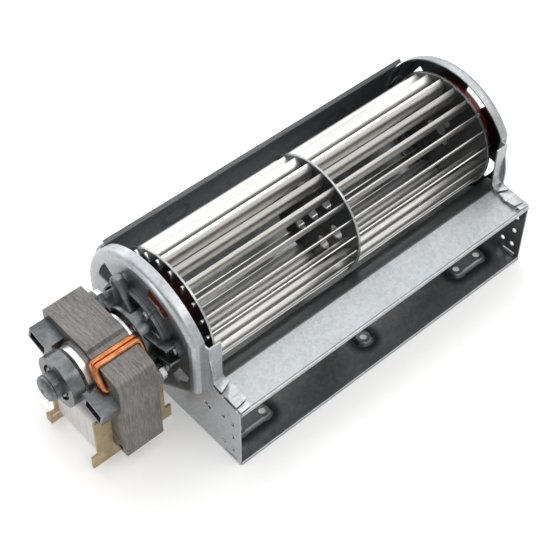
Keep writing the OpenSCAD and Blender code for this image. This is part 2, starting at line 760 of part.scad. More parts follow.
// Silicone disc that holds the end bearing and damps its noise
module bearing_holder() {
    face_x = bearing_dish_x - sheet_t;
    place() color(silicone) difference() {
        union() {
            rod(face_x - holder_t, face_x, holder_r);
            tube(face_x - holder_t - 1.4, face_x, holder_r, holder_r - holder_ring_w);
            tube(face_x - holder_t - 1, face_x, holder_mid_r + holder_ring_w, holder_mid_r);
            rod(face_x - holder_t - 1.6, bearing_dish_x + holder_lip, holder_hub_r);
            rod(bearing_dish_x, bearing_dish_x + holder_lip, holder_hub_r + 1.8);
        }
        rod(face_x - holder_t - 2, bearing_dish_x + holder_lip + cut, bearing_r);
        for (a = [0:60:300])
            along_x(face_x - holder_t - 2, holder_t + 4) rotate(a)
                arc_band(holder_mid_r - 1, holder_hub_r + 2.3, -16, 16);
    }
}

module end_bearing() {
    face_x = bearing_dish_x - sheet_t;
    place() color(bronze)
        tube(face_x - holder_t - 1.6, bearing_dish_x + 1, bearing_r, shaft_d / 2 + running_fit);
}

module end_bearing_clip() {
    face_x = bearing_dish_x - sheet_t - holder_t - 1.6;
    place() color(bright) difference() {
        tube(face_x - clip_t, face_x, holder_hub_r - 0.8, shaft_d / 2 + 1);
        for (a = [0:60:300])
            rotate([a, 0, 0]) translate([0, shaft_d / 2 + 0.8, 0]) rotate([0, 0, 0])
                translate([face_x - 2, 0, -0.5]) cube([4, 3.4, 1]);
    }
}

// Outline of the laminations, without the bore: a C with its opening for the core below
module stack_outline() {
    half = stack_w / 2;
    corner = [for (a = [180:-10:90]) [-half + stack_corner_r * (1 + cos(a)),
        pole_top - pole_fall - stack_corner_r * (1 - sin(a))]];
    difference() {
            polygon(concat([[-half, -stack_bottom]], corner, [[-bore_r - 1, pole_top],
                [-8.6, pole_top], [-8.6, pole_top + 0.8], [-5.8, pole_top + 0.8], [-4.6, stack_top],
                [half - 1, stack_top], [half, stack_top - 1], [half, -stack_bottom],
                [leg_in, -stack_bottom], [leg_in, -pole_top], [8.6, -pole_top],
                [8.6, -pole_top - 0.8], [5.8, -pole_top - 0.8], [4.6, -pole_window],
                [-leg_in + 1, -pole_window], [-leg_in, -pole_window - 1], [-leg_in, -stack_bottom]]));
        for (side = [-1, 1]) {
            translate([side * (leg_in + core_tongue / 2), core_mid_z])
                square([core_tongue + 2 * press_gap, core_h - 4 + 2 * press_gap], center = true);
            translate([side * (half - 4.5), -stack_bottom + 2.8]) circle(1.5);
        }
    }
}

// Section of the notches and slots for the shading rings of one pole
module ring_slots() {
    for (i = [0, 1]) {
        translate([ring_top_y - i * ring_pitch, ring_top_z]) circle(ring_slot_r);
        translate([ring_slot_y - i * ring_pitch, ring_slot_z]) circle(ring_slot_r);
    }
}

module stator_laminations() {
    place() color(laminated) along_x(stack_out_x, stack_t) difference() {
        stack_outline();
        circle(bore_r);
        for (turn = [0, 180]) rotate(turn) {
            ring_slots();
            translate([stack_screw_y, stack_screw_z]) circle(stack_screw_d / 2 + 0.15);
        }
    }
}

// One closed ring of copper wire through the points p and q, round the whole stack
module wire_ring(p, q) {
    d = q - p;
    reach = norm(d);
    straight = ring_half - ring_bend_r;
    translate([stack_mid_x, p[0], p[1]]) rotate([atan2(d[1], d[0]), 0, 0]) {
        for (y = [0, reach]) translate([0, y, 0]) rod(-straight, straight, ring_wire_r);
        for (side = [-1, 1]) {
            translate([side * ring_half, ring_bend_r, 0]) rotate([-90, 0, 0])
                cylinder(h = reach - 2 * ring_bend_r, r = ring_wire_r);
            translate([side * straight, ring_bend_r, 0]) rotate([0, 0, side > 0 ? -90 : 180])
                rotate_extrude(angle = 90) translate([ring_bend_r, 0]) circle(ring_wire_r);
            translate([side * straight, reach - ring_bend_r, 0]) rotate([0, 0, side > 0 ? 0 : 90])
                rotate_extrude(angle = 90) translate([ring_bend_r, 0]) circle(ring_wire_r);
        }
    }
}

module shading_rings() {
    place() color(copper) opposite_pair()
        for (i = [0, 1])
            wire_ring([ring_slot_y - i * ring_pitch, ring_slot_z],
                [ring_top_y - i * ring_pitch, ring_top_z]);
}

module coil_core() {
    place() color(laminated) union() {
        translate([stack_out_x, -leg_in, core_mid_z - core_h / 2]) cube([stack_t, 2 * leg_in, core_h]);
        translate([stack_out_x, -leg_in - core_tongue, core_mid_z - core_h / 2 + 2])
            cube([stack_t, 2 * leg_in + 2 * core_tongue, core_h - 4]);
    }
}

// Flange of the bobbin seen along Y, with its two lugs at the bottom
module bobbin_flange() {
    side = core_half + bobbin_side;
    rise = core_h / 2 + bobbin_rise;
    difference() {
        union() {
            translate([-side, -rise + 2]) square([2 * side, 2 * rise - 4]);
            translate([-side + 2, -rise]) square([2 * side - 4, 2 * rise]);
            for (x = [-side + 2, side - 2], z = [-rise + 2, rise - 2]) translate([x, z]) circle(2);
            translate([-lug_half, -rise]) square([2 * lug_half, 8]);
        }
        square([2 * core_half + 2 * press_gap, core_h + 2 * press_gap], center = true);
    }
}

// Raises a drawing in X and Z along Y, from y0
module along_y(y0, length) {
    translate([stack_mid_x, y0 + length, core_mid_z]) rotate([90, 0, 0]) linear_extrude(length) children();
}

module coil_bobbin() {
    place() color(nylon) difference() {
        bobbin_body();
        for (side = [-1, 1]) terminal(side, press_gap);
    }
}

module bobbin_body() {
    union() {
        along_y(-bobbin_half_y, bobbin_flange_t) bobbin_flange();
        along_y(bobbin_half_y - bobbin_flange_t, bobbin_flange_t) bobbin_flange();
        along_y(-bobbin_half_y, 2 * bobbin_half_y) difference() {
            square([2 * (core_half + bobbin_wall), core_h + 2 * bobbin_wall], center = true);
            square([2 * core_half + 2 * press_gap, core_h + 2 * press_gap], center = true);
        }
        for (side = [-1, 1])
            along_y(bobbin_half_y - bobbin_flange_t, bobbin_flange_t + 2.4)
                translate([side * (lug_half - 4.4) - 4.4, -core_h / 2 - bobbin_rise]) square([8.8, 5]);
    }
}

module coil_winding() {
    side = core_half + bobbin_side - winding_inset;
    rise = core_h / 2 + bobbin_rise - winding_inset;
    place() color(tape) along_y(-bobbin_half_y + bobbin_flange_t, 2 * (bobbin_half_y - bobbin_flange_t))
        difference() {
            union() {
                translate([-side, -rise + 4]) square([2 * side, 2 * rise - 8]);
                translate([-side + 4, -rise]) square([2 * side - 8, 2 * rise]);
                for (x = [-side + 4, side - 4], z = [-rise + 4, rise - 4]) translate([x, z]) circle(4);
            }
            square([2 * (core_half + bobbin_wall + press_gap), core_h + 2 * bobbin_wall + 2 * press_gap],
                center = true);
        }
}

// One flat terminal pushed through the bobbin's rear flange, or the pocket that it needs
module terminal(side, gap) {
    translate([stack_mid_x + side * (lug_half - 4.4) - terminal_w / 2 - gap,
        bobbin_half_y - bobbin_flange_t - gap, lug_top_z - gap])
        cube([terminal_w + 2 * gap, terminal_l, terminal_t + gap * 2]);
}

// Two blade terminals on the bobbin's rear lugs
module terminal_tabs() {
    place() color(bright) for (side = [-1, 1]) difference() {
        terminal(side, 0);
        translate([stack_mid_x + side * (lug_half - 4.4), bobbin_half_y + 6, lug_top_z - cut])
            cylinder(h = 2, r = 0.85);
    }
}

module rotor_core() {
    place() color(dark_steel) difference() {
        rod(rotor_out_x, rotor_in_x, rotor_r);
        rod(rotor_out_x - cut, rotor_in_x + cut, shaft_d / 2 + press_gap);
        for (i = [0:17])
            rotate([20 * i, 0, 0]) translate([0, rotor_r - 2.4, 0])
                rod(rotor_out_x - cut, rotor_in_x + cut, 0.9 + press_gap);
    }
}

// Cast cage of the rotor: two end rings joined by bars
module rotor_cage() {
    place() color(bright) {
        tube(rotor_out_x - rotor_ring_l, rotor_out_x, rotor_ring_r, rotor_ring_r - 4.4);
        tube(rotor_in_x, rotor_in_x + rotor_ring_l, rotor_ring_r, rotor_ring_r - 4.4);
        for (i = [0:17])
            rotate([20 * i, 0, 0]) translate([0, rotor_r - 2.4, 0])
                rod(rotor_out_x - 0.2, rotor_in_x + 0.2, 0.9);
    }
}

module motor_shaft() {
    place() color(bright) pin(outer_end_x + 1, hub_back_x, shaft_d / 2, shaft_bevel);
}

module thrust_washers() {
    place() color(nylon) {
        tube(rotor_out_x - rotor_ring_l - 1, rotor_out_x, 5.4, shaft_d / 2 + press_gap);
        tube(rotor_in_x, rotor_in_x + rotor_ring_l + 1, 5.4, shaft_d / 2 + press_gap);
    }
}

// Cup with its boss and bore, two curved slots in its face and two arms that end in open boxes
module outer_bracket() {
    arm_x = outer_rim_x - arm_neck;
    box_r = cup_r + 1;
    place() color(casting) difference() {
        union() {
            rod(outer_cup_x, outer_rim_x, cup_r);
            rod(outer_end_x, outer_cup_x + 3, boss_r);
            opposite_pair() rotate([arm_a, 0, 0]) {
                along_x(arm_x, arm_neck)
                    translate([cup_r - cast_wall / 2, -box_half]) square([box_wall * 2, 2 * box_half]);
                along_x(arm_x, stack_out_x - arm_x)
                    translate([box_r, -box_half]) square([arm_l + box_half - box_r, 2 * box_half]);
            }
        }
        rod(outer_cup_x + cast_wall, outer_rim_x + cut, cup_r - cast_wall);
        rod(outer_end_x - cut, outer_rim_x, bearing_r);
        for (turn = [30, 210])
            along_x(outer_cup_x - cut, cast_wall + 2 * cut) rotate(turn)
                arc_band(boss_r + 2.8, boss_r + 1, -38, 38);
        opposite_pair() rotate([arm_a, 0, 0]) {
            along_x(arm_x - cut, outer_foot_x - arm_x + cut)
                translate([box_r + box_wall, box_wall - box_half])
                    square([arm_l + box_half - box_r - 2 * box_wall, 2 * (box_half - box_wall)]);
            translate([0, arm_l, 0]) rod(outer_foot_x - cut, stack_out_x + cut, stack_screw_d / 2 + 0.15);
        }
    }
}

// Spider on the dish with its cup, boss, four arms and two feet on the stack
module inner_bracket() {
    place() color(casting) difference() {
        union() {
            along_x(spider_x, spider_t) {
                difference() {
                    circle(spider_r);
                    for (a = arm_turns) rotate(a + 22.5) arc_band(spider_r - 2.4, cup_r + 2, -14, 14);
                }
                for (a = arm_turns) rotate(a) {
                    translate([cup_r, -3.4]) square([arm_screw_r - cup_r, 6.8]);
                    translate([arm_screw_r, 0]) circle(3.4);
                }
                for (a = lug_turns) rotate(a) translate([lug_screw_r, 0]) circle(3.9);
            }
            for (a = arm_turns) rotate([a, 0, 0]) along_x(spider_x - 3, 3.4) for (side = [-1, 1])
                translate([cup_r - 0.6, side * 2.7 - 0.7]) square([arm_screw_r - cup_r - 3, 1.4]);
            for (a = lug_turns)
                rotate([a, 0, 0]) translate([0, lug_screw_r, 0]) rod(spider_x - 1.8, spider_x + 1, 3.4);
            tube(spider_x - 1.8, spider_x + 1, spider_r - 0.5, spider_r - 1.5);
            tube(inner_rim_x, spider_x + 1, cup_r, cup_r - cast_wall);
            rod(inner_rim_x + 2.2, motor_dish_x + 1.4, boss_r);
            opposite_pair() rotate([arm_a, 0, 0]) {
                along_x(inner_foot_x, spider_x - inner_foot_x + 1)
                    translate([cup_r - 0.6, -5]) square([5.6, 10]);
                along_x(stack_in_x, inner_foot_x - stack_in_x + 4.6)
                    translate([15.4, -3.4]) square([2.8, 6.8]);
                along_x(stack_in_x, inner_foot_x - stack_in_x) {
                    translate([arm_l, 0]) circle(4.8);
                    translate([15.4, -4.3]) square([arm_l - 15.4, 8.6]);
                }
            }
        }
        rod(inner_rim_x, motor_dish_x + 2, bearing_r);
        at_plate_screws() rod(spider_x - 6, motor_dish_x + cut, plate_screw_r + press_gap);
        opposite_pair() rotate([arm_a, 0, 0]) translate([0, arm_l, 0])
            rod(stack_in_x - cut, inner_foot_x + cut, stack_screw_d / 2 + 0.15);
    }
}

module outer_bearing() {
    place() color(bronze)
        tube(outer_bearing_x, outer_bearing_x + bearing_l, bearing_r, shaft_d / 2 + running_fit);
}

module inner_bearing() {
    place() color(bronze)
        tube(inner_bearing_x, inner_bearing_x + bearing_l, bearing_r, shaft_d / 2 + running_fit);
}

// Spring washer with slit fingers that presses a sleeve bearing into its seat
module bearing_clip(x) {
    difference() {
        tube(x, x + clip_t, cup_r - cast_wall - 0.1, shaft_d / 2 + 1);
        for (a = [0:45:315])
            rotate([a, 0, 0]) translate([x - 1, shaft_d / 2, -0.5]) cube([3, 4.6, 1]);
    }
}

module outer_bearing_clip() {
    place() color(bright) bearing_clip(outer_bearing_x + bearing_l);
}

module inner_bearing_clip() {
    place() color(bright) bearing_clip(inner_bearing_x - clip_t);
}

module oil_felts() {
    place() color(tape) {
        tube(outer_cup_x + cast_wall, outer_bearing_x + bearing_l, cup_r - cast_wall - 0.6, boss_r + 0.6);
        tube(inner_bearing_x, spider_x, cup_r - cast_wall - 0.6, boss_r + 0.6);
    }
}

module stack_screws() {
    place() color(bright) opposite_pair() rotate([arm_a, 0, 0]) translate([0, arm_l, 0]) difference() {
        union() {
            rod(outer_foot_x - 2.4, outer_foot_x, stack_head_r);
            rod(outer_foot_x - 0.1, inner_foot_x + 4, stack_screw_d / 2);
        }
        for (turn = [0, 90])
            translate([outer_foot_x - 2.9, 0, 0]) rotate([turn, 0, 0])
                translate([0, -1.9, -0.45]) cube([1.8, 3.8, 0.9]);
    }
}

module stack_nuts() {
    place() color(bright) opposite_pair() rotate([arm_a, 0, 0]) translate([inner_foot_x, arm_l, 0])
        rotate([0, 90, 0]) difference() {
            cylinder(h = 3, r = 4, $fn = 6);
            translate([0, 0, -cut]) cylinder(h = 4, r = stack_screw_d / 2 + press_gap);
        }
}

// Screws that hold the inner bracket on the dish, with cross recesses
module plate_screws() {
    place() color(bright) {
        for (a = arm_turns) rotate([a, 0, 0]) translate([0, arm_screw_r, 0]) plate_screw(spider_x);
        for (a = lug_turns) rotate([a, 0, 0]) translate([0, lug_screw_r, 0]) plate_screw(spider_x - 1.8);
    }
}

// One such screw, with its head against x
module plate_screw(x) {
    difference() {
        union() {
            rod(x - plate_head_t, x, plate_head_r);
            rod(x - 0.1, motor_dish_x + 2.2, plate_screw_r);
        }
        for (turn = [0, 90])
            translate([x - plate_head_t - 0.4, 0, 0]) rotate([turn, 0, 0])
                translate([0, -plate_head_r / 2, -0.4]) cube([1.4, plate_head_r, 0.8]);
    }
}

motor_side_plate();
bearing_side_plate();
scroll_sheet();
outlet_top_sheet();
impeller_motor_disc();
impeller_middle_disc();
impeller_bearing_disc();
blades_motor_section();
blades_bearing_section();
impeller_hub();
hub_insert();
hub_set_screw();
stub_shaft();
stub_rivets();
bearing_holder();
end_bearing();
end_bearing_clip();
stator_laminations();
coil_core();
coil_bobbin();
coil_winding();
terminal_tabs();
shading_rings();
rotor_core();
rotor_cage();
motor_shaft();
thrust_washers();
outer_bracket();
inner_bracket();
outer_bearing();
inner_bearing();
outer_bearing_clip();
inner_bearing_clip();
oil_felts();
stack_screws();
stack_nuts();
plate_screws();
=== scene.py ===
"""Looks for a cross-flow oven fan with a shaded-pole motor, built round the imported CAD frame."""
import json
import math

import bmesh
import bpy
from mathutils import Matrix, Vector


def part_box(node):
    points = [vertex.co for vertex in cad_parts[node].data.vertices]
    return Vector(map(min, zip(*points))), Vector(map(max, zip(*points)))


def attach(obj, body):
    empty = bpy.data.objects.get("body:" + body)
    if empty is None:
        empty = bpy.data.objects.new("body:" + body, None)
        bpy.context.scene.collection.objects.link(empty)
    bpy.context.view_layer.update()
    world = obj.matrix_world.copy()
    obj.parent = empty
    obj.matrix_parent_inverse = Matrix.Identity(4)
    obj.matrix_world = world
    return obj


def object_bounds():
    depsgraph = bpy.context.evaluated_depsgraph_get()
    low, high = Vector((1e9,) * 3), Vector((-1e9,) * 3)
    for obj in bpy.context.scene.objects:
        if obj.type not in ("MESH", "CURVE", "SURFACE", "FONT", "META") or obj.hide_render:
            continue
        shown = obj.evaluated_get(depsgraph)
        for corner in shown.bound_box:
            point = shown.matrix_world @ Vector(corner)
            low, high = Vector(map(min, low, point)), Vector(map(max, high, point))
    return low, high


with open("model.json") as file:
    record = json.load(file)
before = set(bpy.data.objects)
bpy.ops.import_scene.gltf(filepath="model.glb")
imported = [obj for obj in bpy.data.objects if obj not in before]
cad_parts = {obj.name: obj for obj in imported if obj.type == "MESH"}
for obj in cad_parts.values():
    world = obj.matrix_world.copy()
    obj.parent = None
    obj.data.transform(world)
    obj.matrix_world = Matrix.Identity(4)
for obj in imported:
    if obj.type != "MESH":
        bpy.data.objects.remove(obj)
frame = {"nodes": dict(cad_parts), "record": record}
cad_low, cad_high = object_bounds()

MM = 0.001

# The impeller's axis starts at this point of the frame, at the middle of its motor disc, in millimetres
FAN_AXIS = Vector((-61.8, 7.9, 52.5))


def fan(x, y, z):
    """A point given along the impeller's axes in millimetres, as a point of the frame."""
    return (Vector((x, y, z)) + FAN_AXIS) * MM


def fan_box(node):
    """A node's lowest and highest corners along the impeller's axes, in millimetres."""
    return [Vector(corner) / MM - FAN_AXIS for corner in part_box(node)]


def add_object(name, data):
    """Makes an object of a mesh, lamp or camera and puts it in the scene."""
    made = bpy.data.objects.new(name, data)
    bpy.context.scene.collection.objects.link(made)
    return made


def mesh_of(work, name):
    """Turns a bmesh into a mesh and frees it."""
    mesh = bpy.data.meshes.new(name)
    work.to_mesh(mesh)
    work.free()
    return mesh


def new_verts(result):
    """The vertices that an extrusion made."""
    return [item for item in result["geom"] if isinstance(item, bmesh.types.BMVert)]


# Camera

# Where the fit of the object's edges puts the lens, and what it takes in, in millimetres
LENS_PLACE = Vector((-286.185, -311.797, 528.952))
LENS_LENGTH = 87.94
FILM_WIDTH = 36.0


def make_camera():
    """The camera stands at the lens's place, turned as the same fit gives it."""
    right = Vector((0.74569, -0.66627, 0.00583))
    up = Vector((0.50316, 0.56883, 0.65059))
    back = Vector((-0.43678, -0.48220, 0.75941))
    data = bpy.data.cameras.new("camera")
    data.lens = LENS_LENGTH
    data.sensor_width = FILM_WIDTH
    data.clip_start = 0.01
    data.clip_end = 20.0
    camera = add_object("camera", data)
    turn = Matrix((right, up, back)).transposed().to_4x4()
    camera.matrix_world = Matrix.Translation(LENS_PLACE * MM) @ turn
    bpy.context.scene.camera = camera


make_camera()


# Shader maths


class Signal:
    """A socket of a shader tree that takes the usual operators."""

    def __init__(self, finish, socket):
        self.finish = finish
        self.socket = socket

    def maths(self, operation, *others):
        """Adds a Math node that takes this signal first."""
        values = dict(enumerate((self,) + others))
        return self.finish.signal("ShaderNodeMath", values, operation=operation)

    def __add__(self, other):
        return self.maths("ADD", other)

    __radd__ = __add__

    def __mul__(self, other):
        return self.maths("MULTIPLY", other)

    __rmul__ = __mul__

    def __sub__(self, other):
        return self.maths("SUBTRACT", other)

    def __rsub__(self, other):
        return (self * -1.0) + other

    def smallest(self, other):
        """The smaller of two values."""
        return self.maths("MINIMUM", other)

    def largest(self, other):
        """The larger of two values."""
        return self.maths("MAXIMUM", other)

    def size(self):
        """The value without its sign."""
        return self.maths("ABSOLUTE")

    def wave(self):
        """A wave from -1 to 1, which repeats at each full turn of the value."""
        return self.maths("SINE")

    def root(self):
        """The square root."""
        return self.maths("SQRT")

    def ramp(self, low, high, start=0.0, end=1.0):
        """Maps low..high to start..end, smoothly, and holds the ends."""
        limits = {"Value": self, "From Min": low, "From Max": high, "To Min": start, "To Max": end}
        return self.finish.signal("ShaderNodeMapRange", limits, "Result", interpolation_type="SMOOTHSTEP")


class Finish:
    """One material, with a node-maker and the textures that the surfaces need."""

    def __init__(self, name, metallic=0.0, roughness=0.5):
        self.material = bpy.data.materials.new(name)
        self.material.use_nodes = True
        self.tree = self.material.node_tree
        self.tree.nodes.clear()
        self.shader = self.node("ShaderNodeBsdfPrincipled")
        output = self.node("ShaderNodeOutputMaterial")
        self.tree.links.new(self.shader.outputs[0], output.inputs["Surface"])
        self.put("Metallic", metallic)
        self.put("Roughness", roughness)
        self.place = self.signal("ShaderNodeTexCoord", {}, "Object")
        split = self.node("ShaderNodeSeparateXYZ", {0: self.place})
        self.x, self.y, self.z = (Signal(self, socket) for socket in split.outputs)

    def feed(self, socket, value):
        """Links a signal to a socket, or sets a plain number or colour on it."""
        if isinstance(value, Signal):
            self.tree.links.new(value.socket, socket)
        elif socket.type == "RGBA":
            socket.default_value = (*value, 1.0)
        else:
            socket.default_value = value

    def node(self, kind, sockets=None, **settings):
        """Adds a node, with its settings first and then the values or links of its sockets."""
        made = self.tree.nodes.new(kind)
        for key, value in settings.items():
            setattr(made, key, value)
        for name, value in (sockets or {}).items():
            self.feed(made.inputs[name], value)
        return made

    def signal(self, kind, sockets, output=0, **settings):
        """Adds a node and gives the signal at one of its outputs."""
        return Signal(self, self.node(kind, sockets, **settings).outputs[output])

    def put(self, name, value):
        """Feeds one socket of the surface's shader."""
        self.feed(self.shader.inputs[name], value)

    def stretched(self, sx, sy, sz):
        """The surface's place, scaled on each axis: a pattern runs long on an axis with a small scale."""
        return self.signal("ShaderNodeVectorMath", {0: self.place, 1: (sx, sy, sz)}, operation="MULTIPLY")

    def noise(self, scale, detail=3.0, rough=0.5, where=None, warp=0.0):
        """Soft clouds from 0 to 1, at the surface's place unless another is given."""
        sockets = {"Vector": where or self.place, "Scale": scale, "Detail": detail, "Roughness": rough,
                   "Distortion": warp}
        return self.signal("ShaderNodeTexNoise", sockets)

    def cells(self, scale, where):
        """A flat random tone in each cell of a crystal pattern."""
        colour = self.signal("ShaderNodeTexVoronoi", {"Vector": where, "Scale": scale}, "Color")
        return self.signal("ShaderNodeSeparateColor", {0: colour})

    def mix(self, factor, first, second):
        """Blends from the first colour to the second."""
        return self.signal("ShaderNodeMix", {"Factor": factor, 6: first, 7: second}, 2, data_type="RGBA")

    def bump(self, height, strength, depth):
        """Roughens the surface by a height, over a depth in millimetres."""
        sockets = {"Strength": strength, "Distance": depth * MM, "Height": height}
        self.put("Normal", self.signal("ShaderNodeBump", sockets))
        return self


# Painted shade that follows the fan's own places, in millimetres along the impeller's axes

# How far the dishes' middle lies under the impeller's axis
DISH_DROP = 5.0

# The floor's screw seats: where they stand across, and each one's middle and half its straight length
SEAT_Y = -44.8
SEATS = ((84.0, 0.0), (9.5, 7.5), (158.5, 7.5))

# The (x, z) middles of the two press marks in the back, and half their size each way
BACK_DENTS = ((38.5, 1.6), (143.8, -0.8))
DENT_HALF_LENGTH = 8.5
DENT_HALF_HEIGHT = 5.2

# Where a disc's flat face ends, and where the top sheet's tongue begins
DISC_FACE_RADIUS = 31.6
TONGUE_Y = -41.0


def fan_place(f):
    """A surface's place along the impeller's axes, in millimetres, as three signals."""
    return [(value - start * MM) * (1.0 / MM) for value, start in zip((f.x, f.y, f.z), FAN_AXIS)]


def distance(across, along):
    """How far a point is from the middle, from its two coordinates."""
    return (across * across + along * along).root()


def dish_painted_shade(f):
    """Painted shade on the dish's face, darkest on the side where the motor stands close over it: the
    motor's painted shadow and dark reflection.
    """
    x, y, z = fan_place(f)
    front = fan_box("motor_side_plate")[0].x
    face = distance(y, z + DISH_DROP).ramp(39.0, 34.0) * x.ramp(front + 2.8, front + 0.6)
    return face * y.ramp(22.0, -12.0, 0.25, 0.8)


def far_dish_painted_shade(f):
    """Painted shade on the inner skin of the far dish, which faces the impeller's end."""
    x, y, z = fan_place(f)
    end = fan_box("bearing_side_plate")[1].x
    skin = x.ramp(end - 6.2, end - 5.0) * x.ramp(end - 0.2, end - 0.6)
    return distance(y, z + DISH_DROP).ramp(42.5, 41.0) * skin * 0.85


def seat_painted_shade(f):
    """Painted shade: dark rings round the screw seats in the duct's floor."""
    x, y, z = fan_place(f)
    floor = fan_box("scroll_sheet")[0].z
    rings = 0.0
    for middle, half in SEATS:
        along = ((x - middle).size() - half).largest(0.0)
        radius = distance(along, y - SEAT_Y)
        rings = (radius.ramp(11.0, 6.2) * radius.ramp(3.0, 4.6)).largest(rings)
    return rings * z.ramp(floor + 4.5, floor + 3.5)


def back_dent_painted_shade(f):
    """Painted shade of two faint oval press marks on the upright back of the scroll, as darker rings."""
    x, y, z = fan_place(f)
    marks = 0.0
    for dent_x, dent_z in BACK_DENTS:
        along = (x - dent_x) * (1.0 / DENT_HALF_LENGTH)
        rise = (z - dent_z) * (1.0 / DENT_HALF_HEIGHT)
        radius = distance(along, rise)
        marks = (radius.ramp(1.25, 1.0) * radius.ramp(0.6, 0.9)).largest(marks)
    return marks * y.ramp(38.1, 41.1)


def scroll_painted_shade(f):
    """Painted shade round the seats and the press marks, and along the fold at the top of the back."""
    top = fan_box("scroll_sheet")[1].z
    fold = fan_place(f)[2].ramp(top - 3.0, top - 2.0)
    return (seat_painted_shade(f) * 0.95 + back_dent_painted_shade(f) * 0.35).largest(fold * 0.95)


def disc_painted_shade(f):
    """Painted shade on a disc's faces, which leaves its rolled rim bright."""
    y, z = fan_place(f)[1:]
    return distance(y, z).ramp(DISC_FACE_RADIUS + 0.4, DISC_FACE_RADIUS) * 0.9


def tongue_painted_shade(f):
    """Painted shade on the top sheet's tongue, behind its bend and close under the impeller: the impeller's
    shadow and dark reflection.
    """
    return fan_place(f)[1].ramp(TONGUE_Y, TONGUE_Y + 2.0) * 0.8


# Materials

# The thickness of one lamination, and how far apart the coil tape's turns are
LAMINATION = 0.5
TAPE_PITCH = 6.2

# Dark and light tones of galvanised sheet. The first pair is the sheet's own tone; the shaded, scroll and
# disc pairs are darker copies that paint shade on the darker sheets of the duct and on the impeller's discs;
# the last pair is a paler copy that paints a highlight on the crimped tabs
ZINC = ((0.38, 0.40, 0.415), (0.54, 0.565, 0.58))
SHADED_ZINC = ((0.26, 0.285, 0.30), (0.40, 0.43, 0.445))
SCROLL_ZINC = ((0.29, 0.31, 0.32), (0.44, 0.465, 0.475))
DISC_ZINC = ((0.36, 0.38, 0.39), (0.50, 0.52, 0.53))
TAB_HIGHLIGHT_ZINC = ((0.44, 0.46, 0.47), (0.64, 0.66, 0.67))


def toned(colour, share):
    """A colour made deeper or paler by a share, and never past white."""
    return tuple(min(1.0, value * share) for value in colour)


def zinc_sheet(name, tones, rough, shade=None):
    """Galvanised sheet: fine zinc crystals in soft clouds, with faint scuffs and rolling marks."""
    dark, light = tones
    f = Finish(name, metallic=1.0)
    bent = f.noise(260.0, detail=2.0)
    push = f.signal("ShaderNodeCombineXYZ", {axis: bent * (gain * MM) for axis, gain in
                                             enumerate((2.0, 1.8, 1.5))})
    where = f.signal("ShaderNodeVectorMath", {0: f.place, 1: push}, operation="ADD")
    crystals = f.cells(620.0, where) * 0.6 + f.cells(1500.0, where) * 0.4
    clouds = f.noise(38.0, detail=5.0, rough=0.62)
    grain = f.noise(2400.0, detail=2.0, rough=0.6, where=f.stretched(0.2, 1.0, 1.0))
    rubs = f.noise(520.0, detail=3.0, rough=0.7, where=f.stretched(0.12, 1.0, 0.6), warp=0.6)
    scuffs = rubs.ramp(0.66, 0.78)
    tone = (crystals * 0.42 + clouds * 0.55 + grain * 0.16).ramp(0.25, 0.9)
    colour = f.mix(scuffs * 0.35, f.mix(tone, dark, light), toned(dark, 0.7))
    # Painted shade: where a mask is given, the colour is drawn towards a deep copy of the dark tone
    if shade:
        colour = f.mix(shade(f), colour, toned(dark, 0.25))
    f.put("Base Color", colour)
    f.put("Roughness", (clouds * 0.14 + crystals * 0.08) + (scuffs * 0.1 + rough))
    return f.bump(crystals * 0.5 + grain * 0.5, 0.10, 0.08).material


def rolled_aluminium(name):
    """Bright rolled strip: long soft streaks along X and faint smears."""
    f = Finish(name, metallic=1.0)
    streaks = f.noise(420.0, detail=2.0, where=f.stretched(0.015, 1.0, 1.0))
    lines = f.noise(2600.0, detail=2.0, where=f.stretched(0.02, 1.0, 1.0))
    smears = f.noise(30.0, detail=4.0, rough=0.6, where=f.stretched(0.6, 1.0, 1.0))
    tone = streaks * 0.4 + lines * 0.15 + smears * 0.45
    f.put("Base Color", f.mix(tone.ramp(0.25, 0.8), (0.60, 0.585, 0.56), (0.87, 0.855, 0.825)))
    f.put("Roughness", streaks * 0.06 + smears * 0.08 + 0.24)
    return f.material


def die_casting(name, dark, light):
    """Die-cast zinc: dull grey skin with flow marks and a fine grit."""
    f = Finish(name, metallic=1.0)
    flow = f.noise(90.0, detail=5.0, rough=0.65, warp=1.2)
    grit = f.noise(2200.0, detail=2.0, rough=0.7)
    f.put("Base Color", f.mix(flow.ramp(0.25, 0.75), dark, light))
    f.put("Roughness", flow * 0.14 + grit * 0.08 + 0.24)
    return f.bump(grit * 0.5 + flow * 0.5, 0.14, 0.08).material


def stacked_sheets(name):
    """Edges of thin laminations: fine lines across X, flecks and stains over dull, warm steel."""
    f = Finish(name, metallic=0.8)
    lines = (f.x * (math.tau / (LAMINATION * MM))).wave() * 0.5 + 0.5
    streaks = f.noise(1300.0, detail=4.0, rough=0.75, where=f.stretched(1.0, 0.1, 0.1))
    flecks = f.noise(1900.0, detail=2.0, rough=0.7).ramp(0.57, 0.66)
    stains = f.noise(70.0, detail=5.0, rough=0.65)
    tone = lines * 0.1 + streaks * 0.65 + stains * 0.3
    steel = f.mix(tone.ramp(0.32, 0.8), (0.115, 0.107, 0.1), (0.35, 0.335, 0.32))
    f.put("Base Color", f.mix(flecks * 0.6, steel, (0.06, 0.055, 0.05)))
    f.put("Roughness", streaks * 0.18 + stains * 0.14 + 0.32)
    return f.bump(lines * 0.35 + streaks, 0.2, 0.1).material


def copper_wire(name):
    """Bare copper with soft changes of tint and a fine drawn skin."""
    f = Finish(name, metallic=1.0)
    tint = f.noise(260.0, detail=4.0, rough=0.6)
    scuffs = f.noise(1600.0, detail=2.0, rough=0.6)
    f.put("Base Color", f.mix(tint.ramp(0.3, 0.75), (0.42, 0.14, 0.05), (0.74, 0.32, 0.14)))
    f.put("Roughness", tint * 0.2 + scuffs * 0.1 + 0.16)
    return f.bump(scuffs, 0.15, 0.05).material


